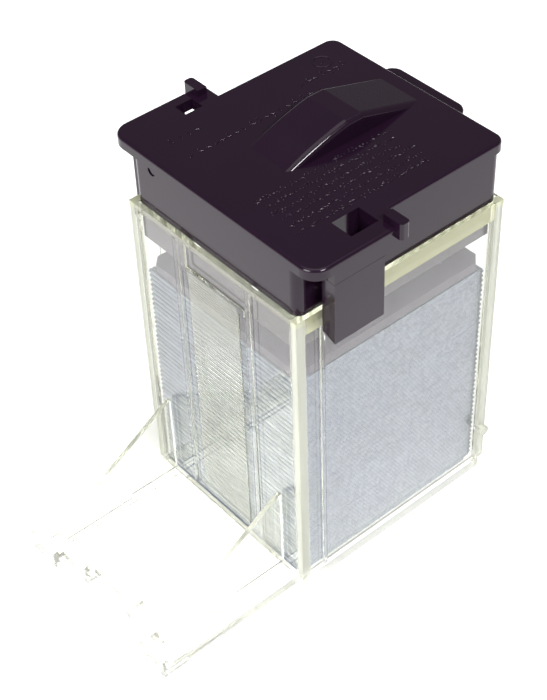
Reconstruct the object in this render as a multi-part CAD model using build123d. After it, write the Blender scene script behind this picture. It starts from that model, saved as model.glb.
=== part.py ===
from build123d import *
import os

os.makedirs("parts", exist_ok=True)

# Staple refill cartridge of an electric stapler. Millimetres, +Z up, the bay's front is -Y.
# The origin is the middle of the case's underside.

# Wires and sheets
wire_pitch = 0.552
wires_per_sheet = 59
wire_length = 29.8
sheet_thickness = 0.43
sheet_gap = 0.01
sheets_in_stack = 85
sheets_per_group = 5
lead_sheet_gap = 0.05
lead_sheet_reach = 1.2
sheet_depth = wire_pitch * wires_per_sheet

# Clear case
base_width = 33.1
base_depth = 35.8
floor_thickness = 1.8
case_height = 50.2
wall_outer_width = 32.0
wall_outer_depth = 35.2
cavity_width = 30.2
cavity_depth = 33.0
front_rim_height = 0.8
side_rim_height = 2.6
rim_width = 33.2
rim_depth = 35.9
corner_radius = 1.3
weld = 0.2
post_depth = 1.4
post_overlap = 0.7
side_rib_y = -13.4
side_rib_width = 0.5
side_rib_rise = 0.4
front_rib_x = 7.2
front_rib_width = 0.6
front_rib_rise = 0.45
front_rib_foot = 0.4
front_key_left = -6.6
front_key_right = -5.2
front_key_rise = 0.35
grip_half_width = 5.05
grip_low = 4.6
grip_high = 45.2
grip_pitch = 0.85
grip_rise = 0.15
groove_width = 0.22
groove_depth = 0.04
grip_bar_rise = 0.3
grip_bar_reach = 1.45
grip_bar_height = 1.0
grip_foot_height = 0.6
slot_height = 0.9
feed_window_half_width = 9.5
feed_window_front = -13.5
feed_window_back = -2.5
tongue_half_width = 9.9
tongue_low = 0.35
tongue_high = 1.15
tongue_back = -2.9
groove_clearance = 0.1
lug_y = 17.0
lug_z = 8.2
lug_radius = 0.75
lug_reach = 1.5

# Black cap
plate_top = 59.6
plate_thickness = 1.6
plate_front = -17.75
plate_step = -2.35
plate_back = 18.0
plate_rear_half = 16.3
plate_front_half = 19.74
plate_rear_rounding = 1.7
wing_rounding = 2.6
plate_edge_rounding = 0.45
skirt_half_width = 16.0
skirt_front = -17.15
skirt_back = 17.4
skirt_wall = 1.2
skirt_bottom = 50.25
plug_half_width = 15.0
plug_half_depth = 16.4
plug_wall = 1.0
plug_bottom = 44.7
wing_rim_bottom = 56.4
wing_rim_width = 1.2
ear_root = 17.6
ear_tip = 20.75
ear_front = -4.75
ear_back = -3.25
ear_bottom = 58.2
ear_top = 60.55
ear_rounding = 0.5
right_window_front = -9.6
right_window_inner = 13.8
right_window_outer = 17.3
right_window_back = -5.2
left_window_front = -8.4
left_window_inner = 15.6
left_window_outer = 17.9
left_window_back = -5.6
pocket_bottom = 52.4
pocket_wall = 1.2
hump_centre = -0.9
hump_width = 8.1
hump_height = 3.0
hump_rounding = 0.8
hump_front = -7.9
hump_crest_front = 2.9
hump_crest_back = 5.5
hump_back = 17.0
hump_root = 0.4
hump_arch = 0.54
tab_half_width = 7.2
tab_back = 20.7
tab_top = 58.3
tab_thickness = 1.4
tab_root = 0.6
tab_corner_rounding = 1.9
tab_edge_rounding = 0.4
seat_height = 1.2
gate_mark_x = -11.9
gate_mark_z = 57.0
gate_mark_radius = 0.75
gate_mark_depth = 0.15

# Legs of the cap
leg_inner = 17.5
leg_front = -14.5
leg_back = -6.4
leg_bottom = 47.0
leg_top = 56.35
nib_tip = 16.65
leg_foot_slope = 0.8
nib_root_low = 0.9
nib_tip_low = 1.8
nib_tip_high = 2.4
nib_root_high = 3.4
nib_inset = 2.0
nib_weld = 0.3

# Pressure plate and spring
follower_half_width = 14.7
follower_half_depth = 16.1
follower_thickness = 1.5
follower_corner = 1.2
follower_rib_start = 10.2
follower_rib_end = 16.5
follower_rib_half_width = 0.5
follower_rib_height = 1.0
boss_outer_radius = 7.6
boss_inner_radius = 6.0
boss_height = 1.8
spring_radius = 8.5
spring_wire_radius = 0.5
spring_turns = 5.0
spring_clearance = 0.02

# Clear shipping tray
tray_half_width = 15.5
tray_back = -18.0
tray_floor_low = 0.35
tray_floor_top = 1.7
tray_lip_top = 3.9
tray_lip_wall = 1.1
tray_corner_front = -41.8
tray_lip_front = -40.2
tray_notch_front = -38.6
corner_block_inner = 10.0
notch_half_width = 4.55
gusset_inner = 11.8
gusset_thickness = 0.7
gusset_top = 16.6
gusset_relief_front = -26.5
gusset_relief_top = 2.5
bead_inner = 15.05
bead_top = 2.1
ejector_mark_x = -11.5
ejector_mark_y = -29.0
ejector_mark_radius = 1.6
ejector_mark_groove = 0.25
ejector_mark_depth = 0.12

stack_bottom = floor_thickness + lead_sheet_gap + sheet_thickness + sheet_gap
stack_top = stack_bottom + sheets_in_stack * sheet_thickness
follower_bottom = stack_top + lead_sheet_gap
follower_top = follower_bottom + follower_thickness
plate_underside = plate_top - plate_thickness


def block(x0, x1, y0, y1, z0, z1):
    """A box between two corners."""
    return Pos((x0 + x1) / 2, (y0 + y1) / 2, (z0 + z1) / 2) * Box(x1 - x0, y1 - y0, z1 - z0)


def centred_block(width, depth, z0, z1):
    """A box centred on the Z axis."""
    return block(-width / 2, width / 2, -depth / 2, depth / 2, z0, z1)


def prism_along_x(points, x0, x1):
    """A solid with a Y-Z outline, from x0 to x1."""
    outline = Plane.YZ * Polygon(*points, align=None)
    return Pos(x0, 0, 0) * extrude(outline, x1 - x0, dir=(1, 0, 0))


def prism_along_y(points, y0, y1):
    """A solid with an X-Z outline, from y0 to y1."""
    outline = Plane.XZ * Polygon(*points, align=None)
    return Pos(0, y0, 0) * extrude(outline, y1 - y0, dir=(0, 1, 0))


def prism_along_z(points, z0, z1):
    """A solid with an X-Y outline, from z0 to z1."""
    return Pos(0, 0, z0) * extrude(Polygon(*points, align=None), z1 - z0, dir=(0, 0, 1))


def both_sides(solid):
    """The solid and its mirror image across the middle plane."""
    return solid + mirror(solid, about=Plane.YZ)


def upright_edges(solid):
    return solid.edges().filter_by(Axis.Z)


def write(name, shape):
    export_step(shape, f"parts/{name}.step")


# The case is one clear moulding: floor, four walls, corner posts, rims and ribs.
def make_case():
    base = centred_block(base_width, base_depth, 0, floor_thickness)
    base = fillet(upright_edges(base), corner_radius)
    walls = centred_block(wall_outer_width, wall_outer_depth, floor_thickness, case_height)
    rim = centred_block(rim_width, rim_depth, case_height - front_rim_height, case_height)
    side_rim = centred_block(rim_width, wall_outer_depth, case_height - side_rim_height, case_height)
    case = base + walls + rim + side_rim
    front_edge = -base_depth / 2
    post = block(
        wall_outer_width / 2 - post_overlap,
        base_width / 2,
        front_edge,
        front_edge + post_depth,
        floor_thickness,
        case_height - front_rim_height,
    )
    case += both_sides(post + mirror(post, about=Plane.XZ))
    wall_x = wall_outer_width / 2
    side_rib = block(
        wall_x - weld,
        wall_x + side_rib_rise,
        side_rib_y - side_rib_width / 2,
        side_rib_y + side_rib_width / 2,
        floor_thickness,
        case_height - side_rim_height,
    )
    case += both_sides(side_rib)
    wall_y = -wall_outer_depth / 2
    front_rib = block(
        front_rib_x - front_rib_width / 2,
        front_rib_x + front_rib_width / 2,
        wall_y - front_rib_rise,
        wall_y + weld,
        floor_thickness + slot_height + front_rib_foot,
        case_height - front_rim_height,
    )
    case += both_sides(front_rib)
    case += grip_panel(wall_y)
    case += block(
        front_key_left,
        front_key_right,
        wall_y - front_key_rise,
        wall_y + weld,
        grip_high,
        case_height - front_rim_height,
    )
    lug = Pos(wall_x - 0.5, lug_y, lug_z) * Rot(0, 90, 0) * Cylinder(
        lug_radius, lug_reach + 0.5, align=(Align.CENTER, Align.CENTER, Align.MIN)
    )
    case += both_sides(lug)
    case -= centred_block(cavity_width, cavity_depth, floor_thickness, case_height + 1)
    case -= block(
        -cavity_width / 2,
        cavity_width / 2,
        front_edge - 1,
        -cavity_depth / 2 + 1,
        floor_thickness,
        floor_thickness + slot_height,
    )
    case -= block(
        -feed_window_half_width,
        feed_window_half_width,
        feed_window_front,
        feed_window_back,
        -1,
        floor_thickness + 1,
    )
    case -= block(
        -tongue_half_width - 2 * groove_clearance,
        tongue_half_width + 2 * groove_clearance,
        front_edge - 1,
        tongue_back + groove_clearance,
        tongue_low - groove_clearance,
        tongue_high + groove_clearance,
    )
    return case


# Fine level grooves between two bars, moulded on the front wall as a finger grip.
def grip_panel(wall_y):
    groove_count = int((grip_high - grip_low) / grip_pitch)
    face_y = wall_y - grip_rise
    points = [(wall_y + weld, grip_low), (face_y, grip_low)]
    for groove in range(groove_count):
        middle = grip_low + (groove + 0.5) * grip_pitch
        points += [
            (face_y, middle - groove_width / 2),
            (face_y + groove_depth, middle),
            (face_y, middle + groove_width / 2),
        ]
    top = grip_low + groove_count * grip_pitch
    points += [(face_y, top), (wall_y + weld, top)]
    panel = prism_along_x(points, -grip_half_width, grip_half_width)
    bar_half_width = grip_half_width + grip_bar_reach
    bar_y = wall_y - grip_bar_rise
    panel += block(-bar_half_width, bar_half_width, bar_y, wall_y + weld, top, top + grip_bar_height)
    panel += block(
        -grip_half_width, grip_half_width, bar_y, wall_y + weld, grip_low - grip_foot_height, grip_low
    )
    return panel


# The cap is one black moulding: plate, skirt, inner plug, overhangs with ears, hump and rear tab.
def make_cap():
    plate = block(
        -plate_rear_half, plate_rear_half, plate_step - 2, plate_back, plate_underside, plate_top
    )
    plate = fillet(upright_edges(plate).group_by(Axis.Y)[-1], plate_rear_rounding)
    wings = block(
        -plate_front_half, plate_front_half, plate_front, plate_step, plate_underside, plate_top
    )
    wings = fillet(upright_edges(wings).group_by(Axis.Y)[0], wing_rounding)
    plate += wings
    plate = fillet(plate.faces().sort_by(Axis.Z)[-1].outer_wire().edges(), plate_edge_rounding)
    skirt = block(
        -skirt_half_width, skirt_half_width, skirt_front, skirt_back, skirt_bottom, plate_underside
    )
    skirt = fillet(upright_edges(skirt), corner_radius)
    cap = plate + skirt
    cap -= block(
        -skirt_half_width + skirt_wall,
        skirt_half_width - skirt_wall,
        skirt_front + skirt_wall,
        skirt_back - skirt_wall,
        skirt_bottom - 1,
        plate_underside,
    )
    plug = centred_block(2 * plug_half_width, 2 * plug_half_depth, plug_bottom, skirt_bottom + 1.5)
    plug -= centred_block(
        2 * (plug_half_width - plug_wall),
        2 * (plug_half_depth - plug_wall),
        plug_bottom - 1,
        skirt_bottom + 3,
    )
    cap += plug
    wing_rim = block(
        plate_front_half - wing_rim_width,
        plate_front_half,
        leg_front,
        leg_back,
        wing_rim_bottom,
        plate_underside,
    )
    ear = block(ear_root, ear_tip, ear_front, ear_back, ear_bottom, ear_top)
    ear = fillet(upright_edges(ear).group_by(Axis.X)[-1], ear_rounding)
    cap += both_sides(wing_rim + ear)
    cap = add_right_window(cap)
    cap -= block(
        -left_window_outer,
        -left_window_inner,
        left_window_front,
        left_window_back,
        pocket_bottom,
        plate_top + 1,
    )
    cap += make_hump()
    cap += make_tab()
    seat = Cylinder(boss_outer_radius, seat_height, align=(Align.CENTER, Align.CENTER, Align.MAX))
    seat -= Cylinder(boss_inner_radius, seat_height, align=(Align.CENTER, Align.CENTER, Align.MAX))
    cap += Pos(0, 0, plate_underside) * seat
    gate_mark = Rot(90, 0, 0) * Cylinder(gate_mark_radius, 2 * gate_mark_depth)
    gate_mark = Pos(gate_mark_x, skirt_front, gate_mark_z) * gate_mark
    return cap - gate_mark


# The right window opens into a pocket in the skirt, so that the leg beside it can bend.
def add_right_window(cap):
    pocket_inner = right_window_inner - pocket_wall
    cap += block(
        pocket_inner,
        skirt_half_width,
        right_window_front - pocket_wall,
        right_window_back + pocket_wall,
        pocket_bottom - pocket_wall,
        plate_underside + weld,
    )
    return cap - block(
        right_window_inner,
        right_window_outer,
        right_window_front,
        right_window_back,
        pocket_bottom,
        plate_top + 1,
    )


# The hump is a long convex ramp up from the front, a narrow flat crest and a slope to the back.
def make_hump():
    front = (hump_front, plate_top - hump_root)
    crest_front = (hump_crest_front, plate_top + hump_height)
    crest_back = (hump_crest_back, plate_top + hump_height)
    back = (hump_back, plate_top - hump_root)
    ramp_middle = ((hump_front + hump_crest_front) / 2, plate_top + hump_arch * hump_height)
    with BuildPart() as hump:
        with BuildSketch(Plane.YZ.offset(hump_centre - hump_width / 2)):
            with BuildLine():
                ThreePointArc(front, ramp_middle, crest_front)
                Line(crest_front, crest_back)
                Line(crest_back, back)
                Line(back, front)
            make_face()
        extrude(amount=hump_width)
        sides = hump.faces().sort_by(Axis.X)
        side_edges = sides[0].edges() + sides[-1].edges()
        fillet(side_edges.filter_by(lambda edge: edge.center().Z > plate_top), hump_rounding)
    return hump.part


# The rear tab is a thumb lip, lower than the plate, with rounded free corners.
def make_tab():
    tab = block(
        -tab_half_width, tab_half_width, skirt_back - tab_root, tab_back, tab_top - tab_thickness, tab_top
    )
    tab = fillet(upright_edges(tab).group_by(Axis.Y)[-1], tab_corner_rounding)
    return fillet(tab.faces().sort_by(Axis.Z)[-1].edges().group_by(Axis.Y)[-1], tab_edge_rounding)


# A leg hangs outside the case from each overhang. Its nib presses on the case's side rim.
def make_leg(side):
    leg = prism_along_y(
        [
            (plate_front_half, leg_top),
            (leg_inner, leg_top),
            (leg_inner, leg_bottom + leg_foot_slope),
            (plate_front_half, leg_bottom),
        ],
        leg_front,
        leg_back,
    )
    leg += prism_along_y(
        [
            (leg_inner + nib_weld, leg_bottom + nib_root_high),
            (nib_tip, leg_bottom + nib_tip_high),
            (nib_tip, leg_bottom + nib_tip_low),
            (leg_inner + nib_weld, leg_bottom + nib_root_low),
        ],
        leg_front + nib_inset,
        leg_back - nib_inset,
    )
    if side < 0:
        leg = mirror(leg, about=Plane.YZ)
    return leg


# The pressure plate lies on the sheets. A ring on top centres the spring, and ribs stiffen it.
def make_follower():
    plate = block(
        -follower_half_width,
        follower_half_width,
        -follower_half_depth,
        follower_half_depth,
        follower_bottom,
        follower_top,
    )
    plate = chamfer(upright_edges(plate), follower_corner)
    ring = Cylinder(boss_outer_radius, boss_height, align=(Align.CENTER, Align.CENTER, Align.MIN))
    ring -= Cylinder(boss_inner_radius, boss_height, align=(Align.CENTER, Align.CENTER, Align.MIN))
    plate += Pos(0, 0, follower_top) * ring
    for turn in (45, 135, 225, 315):
        rib = block(
            follower_rib_start,
            follower_rib_end,
            -follower_rib_half_width,
            follower_rib_half_width,
            follower_top - weld,
            follower_top + follower_rib_height,
        )
        plate += Rot(0, 0, turn) * rib
    return plate


# A compression spring of round wire, held short between the pressure plate and the cap.
def make_spring():
    low = follower_top + spring_wire_radius + spring_clearance
    high = plate_underside - spring_wire_radius - spring_clearance
    length = high - low
    path = Helix(pitch=length / spring_turns, height=length, radius=spring_radius)
    section = Plane(origin=path @ 0, z_dir=path % 0) * Circle(spring_wire_radius)
    return Pos(0, 0, low) * sweep(section, path=path, is_frenet=True)


# The tray is a clear cover for the outlet. Its tongue slides into grooves in the case's floor.
def make_tray():
    def outline(inset):
        side = tray_half_width - inset
        block_inner = corner_block_inner + inset
        notch = notch_half_width + inset
        right = [
            (side, tray_back),
            (side, tray_corner_front + inset),
            (block_inner, tray_corner_front + inset),
            (block_inner, tray_lip_front + inset),
            (notch, tray_lip_front + inset),
            (notch, tray_notch_front + inset),
        ]
        return right + [(-x, y) for x, y in reversed(right)]

    floor = prism_along_z(outline(0), tray_floor_low, tray_floor_top)
    lip = prism_along_z(outline(0), 0, tray_lip_top)
    lip -= prism_along_z(outline(tray_lip_wall), -1, tray_lip_top + 1)
    lip -= block(-20, 20, tray_notch_front + tray_lip_wall + 0.01, 0, -1, tray_lip_top + 1)
    tray = floor + lip
    tray += block(
        -tongue_half_width, tongue_half_width, tray_back - 1, tongue_back, tongue_low, tongue_high
    )
    gusset = prism_along_x(
        [
            (tray_back, gusset_relief_top),
            (tray_back, gusset_top),
            (tray_lip_front + tray_lip_wall - 0.2, tray_lip_top),
            (tray_lip_front + tray_lip_wall - 0.2, tray_floor_top - 0.1),
            (gusset_relief_front, tray_floor_top - 0.1),
            (gusset_relief_front, gusset_relief_top),
        ],
        gusset_inner,
        gusset_inner + gusset_thickness,
    )
    bead = block(
        bead_inner, tray_half_width, tray_notch_front, tray_back, tray_floor_top - 0.1, bead_top
    )
    runner = block(
        gusset_inner,
        gusset_inner + gusset_thickness,
        tray_notch_front,
        tray_back,
        0,
        tray_floor_low + 0.1,
    )
    tray += both_sides(gusset + bead + runner)
    mark = Cylinder(ejector_mark_radius, 2 * ejector_mark_depth)
    mark -= Cylinder(ejector_mark_radius - ejector_mark_groove, 2 * ejector_mark_depth)
    return tray - Pos(ejector_mark_x, ejector_mark_y, tray_floor_top) * mark


# Staple wires glued side by side make a sheet. They lie along X. The lead sheet reaches into the outlet.
def make_sheet(low):
    return centred_block(wire_length, sheet_depth, low, low + sheet_thickness - sheet_gap)


write("case", make_case())
write("cap", make_cap())
write("leg_right", make_leg(1))
write("leg_left", make_leg(-1))
write("pressure_plate", make_follower())
write("pressure_spring", make_spring())
write("shipping_tray", make_tray())
write("lead_sheet", Pos(0, -lead_sheet_reach, 0) * make_sheet(floor_thickness + lead_sheet_gap))

for group in range(sheets_in_stack // sheets_per_group):
    first = group * sheets_per_group
    sheets = [
        make_sheet(stack_bottom + (first + n) * sheet_thickness) for n in range(sheets_per_group)
    ]
    write(f"staple_sheets_{group + 1:02d}", Compound(children=sheets))
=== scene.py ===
import math
import random
import bpy
from mathutils import Matrix, Vector


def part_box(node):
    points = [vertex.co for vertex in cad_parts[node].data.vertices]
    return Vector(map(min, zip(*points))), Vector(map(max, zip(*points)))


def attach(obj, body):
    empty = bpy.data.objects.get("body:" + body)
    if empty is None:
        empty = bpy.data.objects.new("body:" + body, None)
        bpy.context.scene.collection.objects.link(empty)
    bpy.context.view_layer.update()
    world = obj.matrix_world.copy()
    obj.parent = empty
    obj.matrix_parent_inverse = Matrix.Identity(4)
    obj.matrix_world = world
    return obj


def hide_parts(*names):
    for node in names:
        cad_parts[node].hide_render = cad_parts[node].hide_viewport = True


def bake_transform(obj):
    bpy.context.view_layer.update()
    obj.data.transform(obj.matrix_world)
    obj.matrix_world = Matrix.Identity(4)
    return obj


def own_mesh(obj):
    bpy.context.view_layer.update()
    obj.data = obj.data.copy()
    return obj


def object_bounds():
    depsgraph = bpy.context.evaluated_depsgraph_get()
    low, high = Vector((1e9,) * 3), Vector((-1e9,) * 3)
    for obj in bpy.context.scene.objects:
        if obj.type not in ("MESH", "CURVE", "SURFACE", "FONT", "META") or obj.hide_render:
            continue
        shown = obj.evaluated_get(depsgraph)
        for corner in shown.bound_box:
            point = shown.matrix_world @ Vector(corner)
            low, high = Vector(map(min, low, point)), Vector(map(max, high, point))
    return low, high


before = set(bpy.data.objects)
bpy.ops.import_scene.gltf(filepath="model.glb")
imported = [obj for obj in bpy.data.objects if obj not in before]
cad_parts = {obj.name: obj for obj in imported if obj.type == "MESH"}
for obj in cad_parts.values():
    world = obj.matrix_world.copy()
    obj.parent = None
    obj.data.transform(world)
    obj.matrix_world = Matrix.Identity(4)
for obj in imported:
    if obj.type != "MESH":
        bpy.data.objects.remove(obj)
cad_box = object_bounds()


# ---------------------------------------------------------------------------
# Case
# The real piece is one clear injection moulding that holds the stack of staple
# sheets: floor, four thin walls, corner posts, rims and a ribbed finger grip.
# It is general-purpose polystyrene, polished in the mould.
# ---------------------------------------------------------------------------


def linear(hex_colour):
    """A colour as Blender wants it, from its sRGB hex value."""
    channels = [int(hex_colour[i : i + 2], 16) / 255 for i in (1, 3, 5)]
    straight = [c / 12.92 if c <= 0.04045 else ((c + 0.055) / 1.055) ** 2.4 for c in channels]
    return (*straight, 1.0)


def add_node(material, kind, sockets=(), **settings):
    """Adds a node to a material, with its settings and with its sockets set or linked."""
    node = material.node_tree.nodes.new("ShaderNode" + kind)
    for name, value in settings.items():
        setattr(node, name, value)
    for name, value in dict(sockets).items():
        if isinstance(value, bpy.types.NodeSocket):
            material.node_tree.links.new(value, node.inputs[name])
        else:
            node.inputs[name].default_value = value
    return node


def new_material(name):
    """An empty material of that name."""
    material = bpy.data.materials.new(name)
    material.use_nodes = True
    material.node_tree.nodes.clear()
    return material


def paint(node_name, material):
    """Gives a CAD node its finished material."""
    for material_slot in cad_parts[node_name].material_slots:
        material_slot.material = material


# Crystal polystyrene, injection moulded and mould-polished: clear and glossy, a
# little yellow-green where the eye looks along a wall, with fine handling scuffs.
polystyrene = new_material("crystal_polystyrene_moulded")
place = add_node(polystyrene, "TexCoord").outputs["Object"]
# The moulding's flow waves are about 6 mm long.
flow = add_node(
    polystyrene,
    "TexNoise",
    {"Vector": place, "Scale": 170.0, "Detail": 2.0, "Roughness": 0.4},
)
# Scuffs are 3 to 8 mm long and hair-thin. They are drawn 0.4 mm wide, or they would not show.
scuff_place = add_node(
    polystyrene,
    "Mapping",
    {"Vector": place, "Scale": (1.0, 1.0, 0.12), "Rotation": (0.5, 0.35, 0.0)},
)
scuffs = add_node(
    polystyrene,
    "TexNoise",
    {
        "Vector": scuff_place.outputs["Vector"],
        "Scale": 2600.0,
        "Detail": 3.0,
        "Roughness": 0.6,
    },
)
scuff_lines = add_node(
    polystyrene,
    "MapRange",
    {"Value": scuffs.outputs["Fac"], "From Min": 0.62, "From Max": 0.78},
)
gloss = add_node(
    polystyrene,
    "MapRange",
    {"Value": scuff_lines.outputs["Result"], "To Min": 0.012, "To Max": 0.14},
)
waves = add_node(
    polystyrene,
    "Bump",
    {"Height": flow.outputs["Fac"], "Strength": 0.12, "Distance": 0.0001},
)
scratched = add_node(
    polystyrene,
    "Bump",
    {
        "Height": scuff_lines.outputs["Result"],
        "Strength": 0.15,
        "Distance": 0.00001,
        "Normal": waves.outputs["Normal"],
    },
)
tint = add_node(polystyrene, "ValToRGB", {"Fac": flow.outputs["Fac"]})
tint.color_ramp.elements[0].color = linear("#ffffff")
tint.color_ramp.elements[1].color = linear("#fcfdf6")
clear = add_node(
    polystyrene,
    "BsdfPrincipled",
    {
        "Base Color": tint.outputs["Color"],
        "Roughness": gloss.outputs["Result"],
        "IOR": 1.59,
        "Transmission Weight": 1.0,
        "Normal": scratched.outputs["Normal"],
    },
)


def beyond(value, start, end):
    """A mask that rises from 0 at start to 1 at end, in metres."""
    return add_node(
        polystyrene, "MapRange", {"Value": value, "From Min": start, "From Max": end}
    ).outputs["Result"]


def work_out(operation, first, second=0.0):
    """One step of arithmetic on two values."""
    return add_node(polystyrene, "Math", {0: first, 1: second}, operation=operation).outputs[0]


def both(mask, other_mask):
    """A mask that is 1 where both masks are."""
    return work_out("MULTIPLY", mask, other_mask)


def either(mask, other_mask):
    """A mask that is the stronger of two masks."""
    return work_out("MAXIMUM", mask, other_mask)


# The thick corner posts, the lugs by them, the rim and the tray's gussets are
# drawn milky, and the grip panel finely spark-eroded: they scatter light, so they
# look pale and even. The milkiness is a choice for the look, not a known property.
# Each mask takes its piece's own edges, in metres.
across = add_node(polystyrene, "SeparateXYZ", {"Vector": place})
from_side = work_out("ABSOLUTE", across.outputs["X"])
from_front = work_out("ABSOLUTE", across.outputs["Y"])
forward = work_out("MULTIPLY", across.outputs["Y"], -1.0)
height = across.outputs["Z"]
corner_mask = both(beyond(from_side, 0.01548, 0.01556), beyond(from_front, 0.01636, 0.01646))
beside_posts = beyond(from_front, 0.01646, 0.01636)
side_rim_height = beyond(height, 0.04755, 0.04760)
side_rim_mask = both(both(beyond(from_side, 0.01602, 0.01605), side_rim_height), beside_posts)
rim_mask = either(side_rim_mask, both(beyond(height, 0.04938, 0.04942), 0.5))
gusset_mask = both(beyond(forward, 0.01808, 0.01812), beyond(height, 0.0025, 0.0027))
grip_height = both(beyond(height, 0.0041, 0.0047), beyond(height, 0.0455, 0.0451))
grip_face = both(beyond(from_side, 0.00508, 0.00503), beyond(forward, 0.01761, 0.01763))
grip_mask = both(grip_face, grip_height)
# The panel's eroded finish lies in level lines 0.43 mm apart, as far as the sheets.
level_lines = add_node(
    polystyrene,
    "TexWave",
    {"Vector": place, "Scale": 730.0, "Distortion": 0.4},
    bands_direction="Z",
)
line_frost = add_node(
    polystyrene,
    "MapRange",
    {"Value": level_lines.outputs["Fac"], "To Min": 0.12, "To Max": 0.56},
)
grip_frost = both(grip_mask, line_frost.outputs["Result"])
post_milk = 0.66
rim_milk = 0.42
gusset_milk = 0.15
grip_or_post = either(grip_frost, both(corner_mask, post_milk))
rim_or_gusset = either(both(rim_mask, rim_milk), both(gusset_mask, gusset_milk))
scatter = either(grip_or_post, rim_or_gusset)
milk_tone = add_node(polystyrene, "ValToRGB", {"Fac": flow.outputs["Fac"]})
milk_tone.color_ramp.elements[0].color = linear("#b6b8ab")
milk_tone.color_ramp.elements[1].color = linear("#bdbfb3")
# The rim is the thickest part and the yellowest.
rim_tone = add_node(
    polystyrene,
    "MixRGB",
    {"Fac": rim_mask, "Color1": milk_tone.outputs["Color"], "Color2": linear("#cfd0a6")},
)
milk = add_node(
    polystyrene,
    "BsdfDiffuse",
    {"Color": rim_tone.outputs["Color"], "Normal": waves.outputs["Normal"]},
)
clear_or_milky = add_node(
    polystyrene,
    "MixShader",
    {0: scatter, 1: clear.outputs[0], 2: milk.outputs[0]},
)

# The lowest 2 mm are drawn partly see-through, 36 parts in 100 for the case and 5
# for the tray, as the light of a bright table floods thin edges.
case_flooding = 0.36
tray_flooding = 0.05
see_through = add_node(polystyrene, "BsdfTransparent", {"Color": linear("#fdfdfb")})
tray_or_case = add_node(
    polystyrene,
    "MapRange",
    {
        "Value": beyond(forward, 0.0180, 0.0182),
        "To Min": case_flooding,
        "To Max": tray_flooding,
    },
)
flooded = both(beyond(height, 0.0026, 0.0022), tray_or_case.outputs["Result"])
plastic = add_node(
    polystyrene,
    "MixShader",
    {0: flooded, 1: clear_or_milky.outputs[0], 2: see_through.outputs[0]},
)

# Light from the lamps is let straight through the walls, without bending, so that
# what is inside is lit.
lamp_path = add_node(polystyrene, "BsdfTransparent", {"Color": linear("#f8f8f6")})
rays = add_node(polystyrene, "LightPath")
clear_or_lamp = add_node(
    polystyrene,
    "MixShader",
    {0: rays.outputs["Is Shadow Ray"], 1: plastic.outputs[0], 2: lamp_path.outputs[0]},
)
edge_tint = add_node(
    polystyrene,
    "VolumeAbsorption",
    {"Color": linear("#eef0b4"), "Density": 7.0},
)
add_node(
    polystyrene,
    "OutputMaterial",
    {"Surface": clear_or_lamp.outputs[0], "Volume": edge_tint.outputs[0]},
)

paint("case", polystyrene)


# ---------------------------------------------------------------------------
# Staple wires, in sheets
# Each sheet is 59 straight steel wires laid side by side and held by lacquer.
# The wire is drawn and flattened, zinc-coated, and cut square at the ends.
# ---------------------------------------------------------------------------

WIRES = 59
WIRE_SIDES = 8
lead_low, lead_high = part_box("lead_sheet")
wire_pitch = (lead_high.y - lead_low.y) / WIRES
wire_share = 0.97
wire_width = wire_pitch * wire_share
wire_height = lead_high.z - lead_low.z
wire_length = lead_high.x - lead_low.x

# Zinc-coated carbon steel wire, drawn and then flattened: a bluish soft shine,
# drawn lines along the wire, each wire a little lighter or darker than the next.
steel_wire = new_material("zinc_coated_steel_wire_drawn")
place = add_node(steel_wire, "TexCoord").outputs["Object"]
tone = add_node(steel_wire, "Attribute", attribute_name="wire_tone")
# The drawn lines run the wire's whole length. Real ones are 0.02 mm apart. They are drawn 0.1 mm
# apart, so that they show.
drawn_place = add_node(steel_wire, "Mapping", {"Vector": place, "Scale": (0.02, 1.0, 1.0)})
drawn = add_node(
    steel_wire,
    "TexNoise",
    {"Vector": drawn_place.outputs["Vector"], "Scale": 9000.0, "Detail": 2.0},
)
cloud = add_node(steel_wire, "TexNoise", {"Vector": place, "Scale": 260.0, "Detail": 3.0})
# A wire's shade is six parts its own tone and four parts the cloud's.
shade = add_node(steel_wire, "Math", {0: tone.outputs["Fac"], 1: 0.6}, operation="MULTIPLY")
shade_cloud = add_node(
    steel_wire,
    "Math",
    {0: cloud.outputs["Fac"], 1: 0.4, 2: shade.outputs[0]},
    operation="MULTIPLY_ADD",
)
zinc = add_node(steel_wire, "ValToRGB", {"Fac": shade_cloud.outputs[0]})
zinc.color_ramp.elements[0].color = linear("#6f7689")
zinc.color_ramp.elements[1].color = linear("#9ca3b2")
wire_gloss = add_node(
    steel_wire,
    "MapRange",
    {"Value": drawn.outputs["Fac"], "To Min": 0.26, "To Max": 0.48},
)
drawn_bump = add_node(
    steel_wire,
    "Bump",
    {"Height": drawn.outputs["Fac"], "Strength": 0.25, "Distance": 0.00001},
)
bright = add_node(
    steel_wire,
    "BsdfPrincipled",
    {
        "Base Color": zinc.outputs["Color"],
        "Metallic": 1.0,
        "Roughness": wire_gloss.outputs["Result"],
        "Normal": drawn_bump.outputs["Normal"],
    },
)
add_node(steel_wire, "OutputMaterial", {"Surface": bright.outputs[0]})


def only(piece):
    """Leaves one object selected and active."""
    bpy.ops.object.select_all(action="DESELECT")
    piece.select_set(True)
    bpy.context.view_layer.objects.active = piece


def settle(piece):
    """Puts a piece's place, turn and scale into its mesh."""
    only(piece)
    bpy.ops.object.transform_apply(location=True, rotation=True, scale=True)


def apply_modifier(piece, kind, **settings):
    """Adds a modifier with those settings and applies it."""
    only(piece)
    modifier = piece.modifiers.new(kind.lower(), kind)
    for name, value in settings.items():
        setattr(modifier, name, value)
    bpy.ops.object.modifier_apply(modifier=modifier.name)


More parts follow.
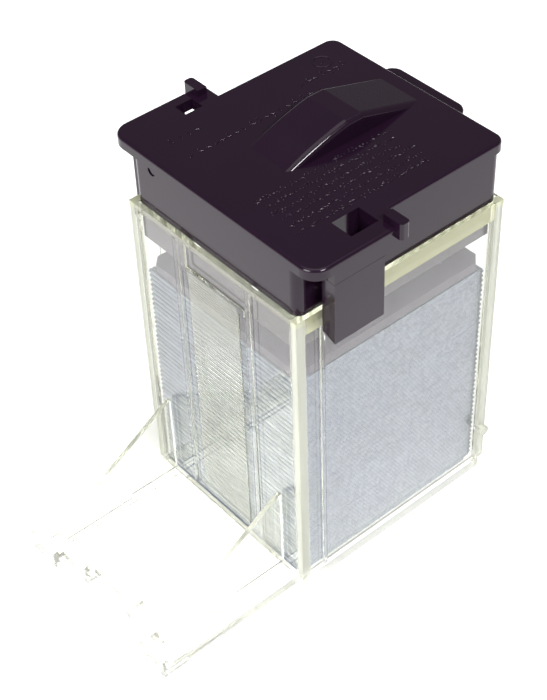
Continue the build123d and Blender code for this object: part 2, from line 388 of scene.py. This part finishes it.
bpy.ops.object.select_all(action="DESELECT")
bpy.ops.mesh.primitive_cylinder_add(vertices=WIRE_SIDES, radius=0.5, depth=1.0)
wire = bpy.context.object
wire.rotation_euler = (0, 0, math.pi / WIRE_SIDES)
settle(wire)
wire.rotation_euler = (0, math.pi / 2, 0)
settle(wire)
flat_to_flat = math.cos(math.pi / WIRE_SIDES)
wire.scale = (wire_length, wire_width / flat_to_flat, wire_height / flat_to_flat)
settle(wire)
wire.location = (0, -(WIRES - 1) / 2 * wire_pitch, 0)
settle(wire)
apply_modifier(
    wire,
    "ARRAY",
    count=WIRES,
    use_relative_offset=False,
    use_constant_offset=True,
    constant_offset_displace=(0, wire_pitch, 0),
)
wire.data.materials.append(steel_wire)
faces_per_wire = len(wire.data.polygons) // WIRES
lay = random.Random(59)


def lay_sheet(name, middle):
    """A sheet of wires with its middle at that place, each wire with its own tone."""
    sheet = wire.copy()
    sheet.data = wire.data.copy()
    sheet.name = name
    bpy.context.collection.objects.link(sheet)
    tones = sheet.data.attributes.new("wire_tone", "FLOAT", "FACE")
    for number in range(WIRES):
        shade_of_wire = lay.random()
        for face in range(faces_per_wire):
            tones.data[number * faces_per_wire + face].value = shade_of_wire
    sheet.data.transform(Matrix.Translation(middle))
    return sheet


lead_sheet = lay_sheet("lead_sheet_wires", (lead_low + lead_high) / 2)
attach(lead_sheet, "lead_sheet_body")
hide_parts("lead_sheet")

# A hand-laid stack is not quite even: each sheet lies a few hundredths of a
# millimetre to the side, and one is a little forward and the next a little back.
side_slip = 0.00002
forward_slip = 0.00012
slip_spread = 0.00004
groups = sorted(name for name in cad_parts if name.startswith("staple_sheets_"))
SHEETS_PER_GROUP = 5
for name in groups:
    low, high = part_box(name)
    spacing = (high.z - low.z - wire_height) / (SHEETS_PER_GROUP - 1)
    sheets = []
    for number in range(SHEETS_PER_GROUP):
        turned = 1 if (groups.index(name) * SHEETS_PER_GROUP + number) % 2 else -1
        shift_x = lay.uniform(-side_slip, side_slip)
        shift_y = turned * forward_slip + lay.uniform(-slip_spread, slip_spread)
        sheet_z = low.z + wire_height / 2 + number * spacing
        sheets.append(lay_sheet(name + "_wires", (shift_x, shift_y, sheet_z)))
    only(sheets[0])
    for sheet in sheets[1:]:
        sheet.select_set(True)
    bpy.ops.object.join()
    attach(sheets[0], "case_body")
    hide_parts(name)
    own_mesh(sheets[0])
bpy.data.objects.remove(wire)


# ---------------------------------------------------------------------------
# Pressure plate
# The real piece is a dark acetal moulding that lies on the sheets and presses
# them down. It is loose in the case: acetal slides well on polystyrene.
# ---------------------------------------------------------------------------

# Acetal, injection moulded: waxy and half dull, dark grey with a purple cast, with a fine
# grain of 0.3 mm and slow clouds of 8 mm.
acetal = new_material("acetal_moulded")
place = add_node(acetal, "TexCoord").outputs["Object"]
grain = add_node(acetal, "TexNoise", {"Vector": place, "Scale": 3500.0, "Detail": 2.0})
mottle = add_node(acetal, "TexNoise", {"Vector": place, "Scale": 120.0, "Detail": 3.0})
resin = add_node(acetal, "ValToRGB", {"Fac": mottle.outputs["Fac"]})
resin.color_ramp.elements[0].color = linear("#2e2834")
resin.color_ramp.elements[1].color = linear("#3c3343")
resin_gloss = add_node(
    acetal,
    "MapRange",
    {"Value": grain.outputs["Fac"], "To Min": 0.35, "To Max": 0.55},
)
resin_bump = add_node(
    acetal,
    "Bump",
    {"Height": grain.outputs["Fac"], "Strength": 0.2, "Distance": 0.00002},
)
body = add_node(
    acetal,
    "BsdfPrincipled",
    {
        "Base Color": resin.outputs["Color"],
        "IOR": 1.48,
        "Roughness": resin_gloss.outputs["Result"],
        "Normal": resin_bump.outputs["Normal"],
    },
)
add_node(acetal, "OutputMaterial", {"Surface": body.outputs[0]})
paint("pressure_plate", acetal)


# ---------------------------------------------------------------------------
# Cap and legs
# The real cap is one black moulding that plugs into the case, with two bendable
# legs outside the case's walls. A long hump and a rear lip are there for the thumb.
# ---------------------------------------------------------------------------

# Black ABS, injection moulded in a polished mould: near black with a purple cast, glossy, with
# faint smears 11 mm across from handling and a fine skin of 0.4 mm.
abs_black = new_material("black_abs_moulded")
place = add_node(abs_black, "TexCoord").outputs["Object"]
fine = add_node(abs_black, "TexNoise", {"Vector": place, "Scale": 2400.0, "Detail": 3.0})
smear = add_node(
    abs_black,
    "TexNoise",
    {"Vector": place, "Scale": 90.0, "Detail": 4.0, "Roughness": 0.6},
)
pigment = add_node(abs_black, "ValToRGB", {"Fac": smear.outputs["Fac"]})
pigment.color_ramp.elements[0].color = linear("#180b19")
pigment.color_ramp.elements[1].color = linear("#200f21")
cap_gloss = add_node(
    abs_black,
    "MapRange",
    {
        "Value": smear.outputs["Fac"],
        "From Min": 0.3,
        "From Max": 0.7,
        "To Min": 0.09,
        "To Max": 0.15,
    },
)
cap_bump = add_node(
    abs_black,
    "Bump",
    {"Height": fine.outputs["Fac"], "Strength": 0.06, "Distance": 0.00001},
)
shell = add_node(
    abs_black,
    "BsdfPrincipled",
    {
        "Base Color": pigment.outputs["Color"],
        "IOR": 1.53,
        "Specular IOR Level": 0.30,
        "Roughness": cap_gloss.outputs["Result"],
        "Normal": cap_bump.outputs["Normal"],
    },
)
add_node(abs_black, "OutputMaterial", {"Surface": shell.outputs[0]})
for name in ("cap", "leg_right", "leg_left"):
    paint(name, abs_black)


# ---------------------------------------------------------------------------
# Pressure spring
# The real piece is a compression spring coiled from round spring-steel wire, with
# its end turns closed. It is held short between the plate's ring and the cap.
# ---------------------------------------------------------------------------

# Carbon spring wire, drawn and oil-tempered: dark grey, half shiny, in clouds of 2 mm. The drawing
# lines are drawn 0.08 mm apart, coarser than the real ones, so that they show.
spring_steel = new_material("spring_steel_wire_tempered")
place = add_node(spring_steel, "TexCoord").outputs["Object"]
temper = add_node(spring_steel, "TexNoise", {"Vector": place, "Scale": 500.0, "Detail": 3.0})
temper_tone = add_node(spring_steel, "ValToRGB", {"Fac": temper.outputs["Fac"]})
temper_tone.color_ramp.elements[0].position = 0.3
temper_tone.color_ramp.elements[0].color = linear("#55545a")
temper_tone.color_ramp.elements[1].position = 0.7
temper_tone.color_ramp.elements[1].color = linear("#7d7b80")
temper_gloss = add_node(
    spring_steel,
    "MapRange",
    {"Value": temper.outputs["Fac"], "To Min": 0.22, "To Max": 0.42},
)
drawing_lines = add_node(
    spring_steel,
    "TexNoise",
    {"Vector": place, "Scale": 12000.0, "Detail": 1.0},
)
drawing_bump = add_node(
    spring_steel,
    "Bump",
    {"Height": drawing_lines.outputs["Fac"], "Strength": 0.2, "Distance": 0.00001},
)
tempered = add_node(
    spring_steel,
    "BsdfPrincipled",
    {
        "Base Color": temper_tone.outputs["Color"],
        "Metallic": 1.0,
        "Roughness": temper_gloss.outputs["Result"],
        "Normal": drawing_bump.outputs["Normal"],
    },
)
add_node(spring_steel, "OutputMaterial", {"Surface": tempered.outputs[0]})

spring_low, spring_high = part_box("pressure_spring")
coil_wire_radius = 0.0005
coil_wire_sides = 12
coil_radius = spring_high.x - coil_wire_radius
coil_bottom = spring_low.z + coil_wire_radius
coil_top = spring_high.z - coil_wire_radius
closed_pitch = 2.1 * coil_wire_radius
closed_turns = 1
open_turns = 4
coil_steps = 40
open_rise = coil_top - coil_bottom - 2 * closed_turns * closed_pitch
runs = [
    (coil_bottom, closed_turns, closed_pitch),
    (coil_bottom + closed_turns * closed_pitch, open_turns, open_rise / open_turns),
    (coil_top - closed_turns * closed_pitch, closed_turns, closed_pitch),
]
coils = []
for start_z, turns, pitch in runs:
    bpy.ops.object.select_all(action="DESELECT")
    bpy.ops.mesh.primitive_circle_add(
        vertices=coil_wire_sides,
        radius=coil_wire_radius,
        location=(coil_radius, 0, start_z),
        rotation=(math.pi / 2, 0, 0),
    )
    coil = bpy.context.object
    settle(coil)
    apply_modifier(
        coil,
        "SCREW",
        axis="Z",
        angle=2 * math.pi,
        screw_offset=pitch,
        iterations=turns,
        steps=coil_steps,
        render_steps=coil_steps,
    )
    coils.append(coil)
spring = coils[0]
spring.name = "pressure_spring_coil"
only(spring)
for coil in coils[1:]:
    coil.select_set(True)
bpy.ops.object.join()
bpy.ops.object.mode_set(mode="EDIT")
bpy.ops.mesh.select_all(action="SELECT")
bpy.ops.mesh.remove_doubles(threshold=0.00001)
bpy.ops.mesh.select_all(action="DESELECT")
bpy.ops.mesh.select_mode(type="EDGE")
bpy.ops.mesh.select_non_manifold()
bpy.ops.mesh.fill_holes(sides=coil_wire_sides)
bpy.ops.mesh.select_all(action="SELECT")
bpy.ops.mesh.normals_make_consistent(inside=False)
bpy.ops.object.mode_set(mode="OBJECT")
bpy.ops.object.shade_smooth_by_angle(angle=math.radians(40))
spring.data.materials.append(spring_steel)
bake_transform(spring)
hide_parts("pressure_spring")


# ---------------------------------------------------------------------------
# Raised marks on the cap
# A moulded cap has small raised marks in its top, in rows. Here they are plain
# bars, dots and a ring, that say nothing, in the same black plastic.
# ---------------------------------------------------------------------------

hump_height = 0.0030
cap_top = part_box("cap")[1].z - hump_height
mark_height = 0.00012
mark_sink = 0.0001


def raised_bar(length, width):
    """A raised bar with rounded top edges, lying along Y at the origin."""
    bpy.ops.object.select_all(action="DESELECT")
    bpy.ops.mesh.primitive_cube_add(size=1.0, location=(0, 0, 0.5 * (mark_height - mark_sink)))
    bar = bpy.context.object
    bar.scale = (width, length, mark_height + mark_sink)
    settle(bar)
    apply_modifier(bar, "BEVEL", width=0.48 * width, segments=4)
    bar.data.materials.append(abs_black)
    return bar


def stamp(shape, x, y, turn, onto):
    """A copy of a mark at that place on the cap's top."""
    mark = shape.copy()
    mark.data = shape.data.copy()
    bpy.context.collection.objects.link(mark)
    mark.data.transform(Matrix.Translation((x, y, cap_top)) @ Matrix.Rotation(turn, 4, "Z"))
    onto.append(mark)


long_bar = raised_bar(0.0006, 0.00022)
short_bar = raised_bar(0.0004, 0.00022)
tall_bar = raised_bar(0.0008, 0.00024)
dot = raised_bar(0.00023, 0.00022)
marks = []
strokes = random.Random(7)
for row in range(6):
    row_x = 0.0048 + 0.00155 * row
    along = -0.0138 + 0.0006 * strokes.random()
    row_end = 0.0086 - 0.0012 * strokes.random() * row
    while along < row_end:
        shape = strokes.choice((long_bar, short_bar, short_bar, dot))
        turn = strokes.choice((-0.38, -0.3, -0.45, 0.4, math.pi / 2))
        stamp(shape, row_x + strokes.uniform(-0.0002, 0.0002), along, turn, marks)
        if strokes.random() < 0.5:
            stamp(dot, row_x + strokes.choice((-0.00035, 0.00035)), along + 0.0002, 0, marks)
        along += strokes.uniform(0.0004, 0.0007)
# Each row on the left is its place across the cap and its start and end along it.
left_rows = (
    (-0.0080, -0.0135, 0.0080),
    (-0.0104, 0.0070, 0.0150),
    (-0.0120, -0.0135, -0.0085),
)
for row_x, row_start, row_end in left_rows:
    along = row_start
    while along < row_end:
        turn = strokes.choice((-0.38, -0.3, 0.5, math.pi / 2))
        stamp(tall_bar, row_x, along, turn, marks)
        if strokes.random() < 0.5:
            stamp(short_bar, row_x + strokes.choice((-0.0006, 0.0006)), along, 0, marks)
        along += strokes.uniform(0.0009, 0.0016)

# The ring mark is a raised ring with a bar across it.
ring_x = -0.0126
ring_y = 0.0126
bpy.ops.object.select_all(action="DESELECT")
bpy.ops.mesh.primitive_torus_add(
    location=(ring_x, ring_y, cap_top),
    major_radius=0.0013,
    minor_radius=0.00012,
    major_segments=36,
    minor_segments=8,
)
ring = bpy.context.object
settle(ring)
ring.data.materials.append(abs_black)
marks.append(ring)
stamp(tall_bar, ring_x, ring_y, 0.6, marks)
raised_marks = marks[0]
raised_marks.name = "raised_marks"
only(raised_marks)
for mark in marks[1:]:
    mark.select_set(True)
bpy.ops.object.join()
bpy.ops.object.shade_smooth_by_angle(angle=math.radians(40))
for shape in (long_bar, short_bar, tall_bar, dot):
    bpy.data.objects.remove(shape)
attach(raised_marks, "cap_body")


# ---------------------------------------------------------------------------
# Shipping tray
# The real piece is a clear moulded cover that keeps the outlet shut until the
# cartridge is used. Its tongue slides in the case's floor. It is the same plastic.
# ---------------------------------------------------------------------------

paint("shipping_tray", polystyrene)


# ---------------------------------------------------------------------------
# Table, light and camera
# A white card table that glows a little, a soft box above and one in front, and
# a narrow lamp at the side that draws the white line along the hump's edge.
# ---------------------------------------------------------------------------

# White card, calendered: matt and even, with fibres about 1 mm long.
table_paper = new_material("white_card")
place = add_node(table_paper, "TexCoord").outputs["Object"]
fibre = add_node(table_paper, "TexNoise", {"Vector": place, "Scale": 900.0, "Detail": 3.0})
card_tone = add_node(table_paper, "ValToRGB", {"Fac": fibre.outputs["Fac"]})
card_tone.color_ramp.elements[0].color = linear("#f4f4f4")
card_tone.color_ramp.elements[1].color = linear("#f8f8f8")
card = add_node(
    table_paper,
    "BsdfPrincipled",
    {
        "Base Color": card_tone.outputs["Color"],
        "Roughness": 0.9,
        "Specular IOR Level": 0.1,
        "Emission Color": linear("#ffffff"),
        "Emission Strength": 0.3,
    },
)
add_node(table_paper, "OutputMaterial", {"Surface": card.outputs[0]})

bpy.ops.object.select_all(action="DESELECT")
bpy.ops.mesh.primitive_plane_add(size=4.0, location=(0, 0, cad_box[0].z - 0.0001))
table = bpy.context.object
table.name = "table"
table.data.materials.append(table_paper)

room = bpy.data.worlds.new("soft_room")
bpy.context.scene.world = room
room.use_nodes = True
room.node_tree.nodes["Background"].inputs["Color"].default_value = linear("#ffffff")
room.node_tree.nodes["Background"].inputs["Strength"].default_value = 0.2


def soft_box(name, place, aim, width, height, watts):
    """A soft light that looks at a point."""
    bpy.ops.object.light_add(type="AREA", location=place)
    lamp = bpy.context.object
    lamp.name = name
    lamp.data.shape = "RECTANGLE"
    lamp.data.size = width
    lamp.data.size_y = height
    lamp.data.energy = watts
    lamp.rotation_euler = (Vector(aim) - Vector(place)).to_track_quat("-Z", "Y").to_euler()


soft_box("top_soft_box", (-0.05, 0.05, 0.75), (0, 0, 0), 0.6, 0.6, 1.5)
soft_box("front_soft_box", (0.05, -0.7, 0.45), (0, 0, 0.02), 0.4, 0.4, 6.2)
soft_box("side_lamp", (0.57, 0.01, 0.62), (0, 0, 0.06), 0.28, 0.10, 5.5)

bpy.ops.object.camera_add(location=(0.124378, -0.108810, 0.178600))
camera = bpy.context.object
camera.data.sensor_width = 36.0
camera.data.lens = 82.16
camera.data.clip_start = 0.01
turn = Matrix.Rotation(math.radians(50.999), 4, "Z")
tilt = Matrix.Rotation(math.radians(90 - 43.192), 4, "X")
roll = Matrix.Rotation(math.radians(-2.430), 4, "Z")
camera.matrix_world = Matrix.Translation(camera.location) @ turn @ tilt @ roll
bpy.context.scene.camera = camera
bpy.context.scene.view_settings.view_transform = "Standard"

# A sight line crosses many clear walls, and light that runs out of turns inside them goes black.
bpy.context.scene.cycles.max_bounces = 48
bpy.context.scene.cycles.transmission_bounces = 48
bpy.context.scene.cycles.glossy_bounces = 24
bpy.context.scene.cycles.transparent_max_bounces = 32
